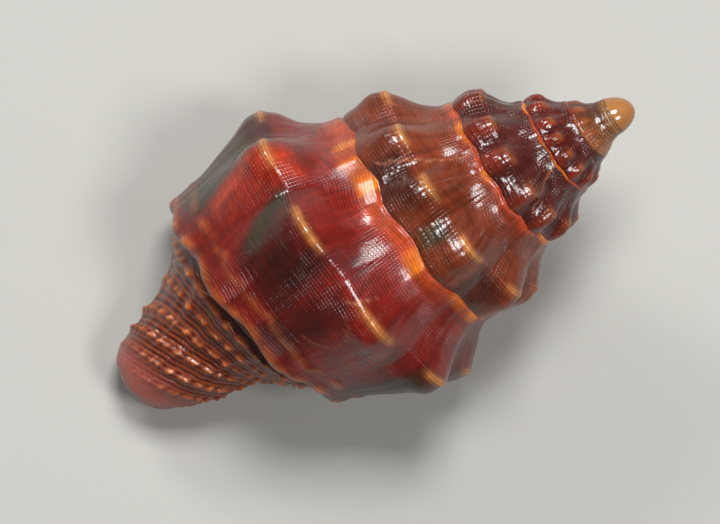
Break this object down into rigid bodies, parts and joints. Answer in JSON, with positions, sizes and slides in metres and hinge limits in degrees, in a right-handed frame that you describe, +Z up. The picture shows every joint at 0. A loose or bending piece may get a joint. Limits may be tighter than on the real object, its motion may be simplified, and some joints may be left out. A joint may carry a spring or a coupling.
{
  "type": "leucozonia shell",
  "caption": "Glossy red-brown spindle shell with a tall stepped spire, knobbed shoulders, an oval mouth and a short open canal, lying mouth down.",
  "frame": {"origin": "centre of the bounding box's base, on the surface that the shell lies on", "axes": "+Z up; +Y along the coil axis towards the spire's tip as seen from above; +X towards the side away from the outer lip; the mouth faces down"},
  "size_m": [0.0252, 0.0434, 0.0206],
  "materials": {
    "shell": "glossy red-brown shell, with orange seams, fine spiral threads and a pale mouth"
  },
  "bodies": {
    "root": {"shell": "shell"}
  },
  "joints": []
}
